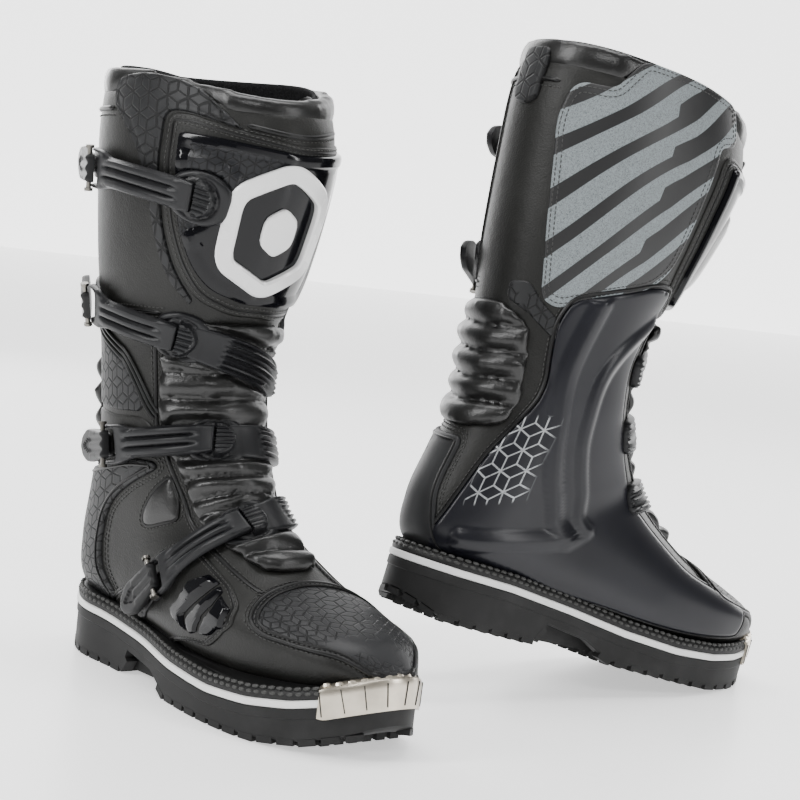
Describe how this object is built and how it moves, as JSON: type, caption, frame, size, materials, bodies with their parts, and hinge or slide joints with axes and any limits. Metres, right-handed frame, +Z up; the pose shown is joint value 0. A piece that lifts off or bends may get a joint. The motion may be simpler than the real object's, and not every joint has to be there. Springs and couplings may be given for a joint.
{
  "type": "riding boots",
  "caption": "Pair of tall off-road riding boots with strap-and-lever buckles, shin armour, flexing ankles and hard toe caps.",
  "frame": {"origin": "centre of the pair's footprint box, on the floor", "axes": "+Z up; +X from the right boot towards the left boot, as they stand seen from the front; the viewer is towards -Y"},
  "size_m": [0.4982, 0.3654, 0.4342],
  "materials": {
    "outsole_rubber": "matte black rubber",
    "white_rand": "satin white moulded edge",
    "lining_fabric": "brushed black lining",
    "toe_plate_metal": "nickel-plated pressed steel",
    "leather": "black microfibre leather, soft sheen",
    "gloss_armour": "polished black plastic",
    "textured_plastic": "satin black plastic with an engraved lattice",
    "guard_plastic": "smooth blue-black rubbery plastic",
    "strap_plastic": "satin black moulded plastic",
    "buckle_plastic": "semi-gloss black plastic"
  },
  "bodies": {
    "right_foot": {"right_outsole": "outsole_rubber", "right_midsole": "white_rand", "right_footbed": "lining_fabric", "right_toe_plate": "toe_plate_metal", "right_foot_upper": "leather", "right_front_bellows": "leather", "right_rear_bellows": "leather", "right_toe_pad": "textured_plastic", "right_heel_counter": "textured_plastic", "right_medial_guard": "guard_plastic", "right_ankle_block": "gloss_armour", "right_ankle_anchor": "strap_plastic", "right_ankle_base": "buckle_plastic", "right_instep_anchor": "strap_plastic", "right_instep_base": "buckle_plastic"},
    "right_shaft": {"right_shaft_upper": "leather", "right_collar": "leather", "right_shin_plate": "gloss_armour", "right_calf_anchor": "strap_plastic", "right_calf_base": "buckle_plastic", "right_shin_anchor": "strap_plastic", "right_shin_base": "buckle_plastic"},
    "right_calf_strap": {"right_calf_strap": "strap_plastic"},
    "right_calf_lever": {"right_calf_lever": "buckle_plastic"},
    "right_shin_strap": {"right_shin_strap": "strap_plastic"},
    "right_shin_lever": {"right_shin_lever": "buckle_plastic"},
    "right_ankle_strap": {"right_ankle_strap": "strap_plastic"},
    "right_ankle_lever": {"right_ankle_lever": "buckle_plastic"},
    "right_instep_strap": {"right_instep_strap": "strap_plastic"},
    "right_instep_lever": {"right_instep_lever": "buckle_plastic"},
    "left_foot": {"left_outsole": "outsole_rubber", "left_midsole": "white_rand", "left_footbed": "lining_fabric", "left_toe_plate": "toe_plate_metal", "left_foot_upper": "leather", "left_front_bellows": "leather", "left_rear_bellows": "leather", "left_toe_pad": "textured_plastic", "left_heel_counter": "textured_plastic", "left_medial_guard": "guard_plastic", "left_ankle_block": "gloss_armour", "left_ankle_anchor": "strap_plastic", "left_ankle_base": "buckle_plastic", "left_instep_anchor": "strap_plastic", "left_instep_base": "buckle_plastic"},
    "left_shaft": {"left_shaft_upper": "leather", "left_collar": "leather", "left_shin_plate": "gloss_armour", "left_calf_anchor": "strap_plastic", "left_calf_base": "buckle_plastic", "left_shin_anchor": "strap_plastic", "left_shin_base": "buckle_plastic"},
    "left_calf_strap": {"left_calf_strap": "strap_plastic"},
    "left_calf_lever": {"left_calf_lever": "buckle_plastic"},
    "left_shin_strap": {"left_shin_strap": "strap_plastic"},
    "left_shin_lever": {"left_shin_lever": "buckle_plastic"},
    "left_ankle_strap": {"left_ankle_strap": "strap_plastic"},
    "left_ankle_lever": {"left_ankle_lever": "buckle_plastic"},
    "left_instep_strap": {"left_instep_strap": "strap_plastic"},
    "left_instep_lever": {"left_instep_lever": "buckle_plastic"}
  },
  "joints": [
    {"name": "right_ankle_flex", "type": "hinge", "parent": "right_foot", "child": "right_shaft", "pos_m": [-0.16238, 0.00564, 0.165], "axis": [0.766, 0.6428, 0], "range_deg": [-5, 12], "stiffness_Nm_per_rad": 30, "deforming": ["right_front_bellows", "right_rear_bellows", "right_medial_guard"]},
    {"name": "right_calf_strap_swing", "type": "hinge", "parent": "right_shaft", "child": "right_calf_strap", "pos_m": [-0.16056, -0.08421, 0.30453], "axis": [0.1108, -0.2057, 0.9723], "range_deg": [0, 65], "stiffness_Nm_per_rad": 0.15},
    {"name": "right_calf_lever_flip", "type": "hinge", "parent": "right_calf_strap", "child": "right_calf_lever", "pos_m": [-0.23531, -0.01523, 0.316], "axis": [-0.0298, -0.1296, 0.9911], "range_deg": [0, 95]},
    {"name": "right_shin_strap_swing", "type": "hinge", "parent": "right_shaft", "child": "right_shin_strap", "pos_m": [-0.16535, -0.0555, 0.21724], "axis": [0.1334, -0.1907, 0.9725], "range_deg": [0, 65], "stiffness_Nm_per_rad": 0.15},
    {"name": "right_shin_lever_flip", "type": "hinge", "parent": "right_shin_strap", "child": "right_shin_lever", "pos_m": [-0.23113, -0.0018, 0.22885], "axis": [-0.1225, -0.3134, 0.9417], "range_deg": [0, 95]},
    {"name": "right_ankle_strap_swing", "type": "hinge", "parent": "right_foot", "child": "right_ankle_strap", "pos_m": [-0.13427, -0.06068, 0.15964], "axis": [-0.1128, 0.3822, 0.9172], "range_deg": [0, 65], "stiffness_Nm_per_rad": 0.15},
    {"name": "right_ankle_lever_flip", "type": "hinge", "parent": "right_ankle_strap", "child": "right_ankle_lever", "pos_m": [-0.20866, -0.02365, 0.14264], "axis": [-0.1263, 0.1418, 0.9818], "range_deg": [0, 95]},
    {"name": "right_instep_strap_swing", "type": "hinge", "parent": "right_foot", "child": "right_instep_strap", "pos_m": [-0.10795, -0.08495, 0.11559], "axis": [-0.5753, 0.5406, 0.6138], "range_deg": [0, 65], "stiffness_Nm_per_rad": 0.15},
    {"name": "right_instep_lever_flip", "type": "hinge", "parent": "right_instep_strap", "child": "right_instep_lever", "pos_m": [-0.1643, -0.07302, 0.07057], "axis": [-0.3372, 0.6068, 0.7198], "range_deg": [0, 95]},
    {"name": "left_ankle_flex", "type": "hinge", "parent": "left_foot", "child": "left_shaft", "pos_m": [0.07159, 0.05029, 0.20299], "axis": [-0.5736, 0.8192, 0], "range_deg": [-5, 12], "stiffness_Nm_per_rad": 30, "deforming": ["left_front_bellows", "left_rear_bellows", "left_medial_guard"]},
    {"name": "left_calf_strap_swing", "type": "hinge", "parent": "left_shaft", "child": "left_calf_strap", "pos_m": [0.12085, 0.15358, 0.3232], "axis": [-0.3346, -0.2921, -0.8959], "range_deg": [0, 65], "stiffness_Nm_per_rad": 0.15},
    {"name": "left_calf_lever_flip", "type": "hinge", "parent": "left_calf_strap", "child": "left_calf_lever", "pos_m": [0.03501, 0.10926, 0.35706], "axis": [-0.1857, -0.2596, -0.9477], "range_deg": [0, 95]},
    {"name": "left_shin_strap_swing", "type": "hinge", "parent": "left_shaft", "child": "left_shin_strap", "pos_m": [0.09323, 0.1162, 0.24378], "axis": [-0.3525, -0.2718, -0.8955], "range_deg": [0, 65], "stiffness_Nm_per_rad": 0.15},
    {"name": "left_shin_lever_flip", "type": "hinge", "parent": "left_shin_strap", "child": "left_shin_lever", "pos_m": [0.01968, 0.08407, 0.27386], "axis": [-0.1329, -0.4536, -0.8813], "range_deg": [0, 95]},
    {"name": "left_ankle_strap_swing", "type": "hinge", "parent": "left_foot", "child": "left_ankle_strap", "pos_m": [0.11347, 0.10537, 0.18227], "axis": [0.0312, 0.2163, -0.9758], "range_deg": [0, 65], "stiffness_Nm_per_rad": 0.15},
    {"name": "left_ankle_lever_flip", "type": "hinge", "parent": "left_ankle_strap", "child": "left_ankle_lever", "pos_m": [0.0305, 0.08778, 0.18284], "axis": [-0.0262, -0.0252, -0.9993], "range_deg": [0, 95]},
    {"name": "left_instep_strap_swing", "type": "hinge", "parent": "left_foot", "child": "left_instep_strap", "pos_m": [0.13632, 0.11579, 0.13137], "axis": [0.5661, 0.2826, -0.7744], "range_deg": [0, 65], "stiffness_Nm_per_rad": 0.15},
    {"name": "left_instep_lever_flip", "type": "hinge", "parent": "left_instep_strap", "child": "left_instep_lever", "pos_m": [0.07145, 0.11371, 0.0977], "axis": [0.3358, 0.396, -0.8547], "range_deg": [0, 95]},
    {"name": "left_boot_tip", "type": "hinge", "parent": "right_foot", "child": "left_foot", "pos_m": [0.19098, 0.13388, 0], "axis": [0.5736, -0.8192, 0], "range_deg": [0, 13]}
  ]
}
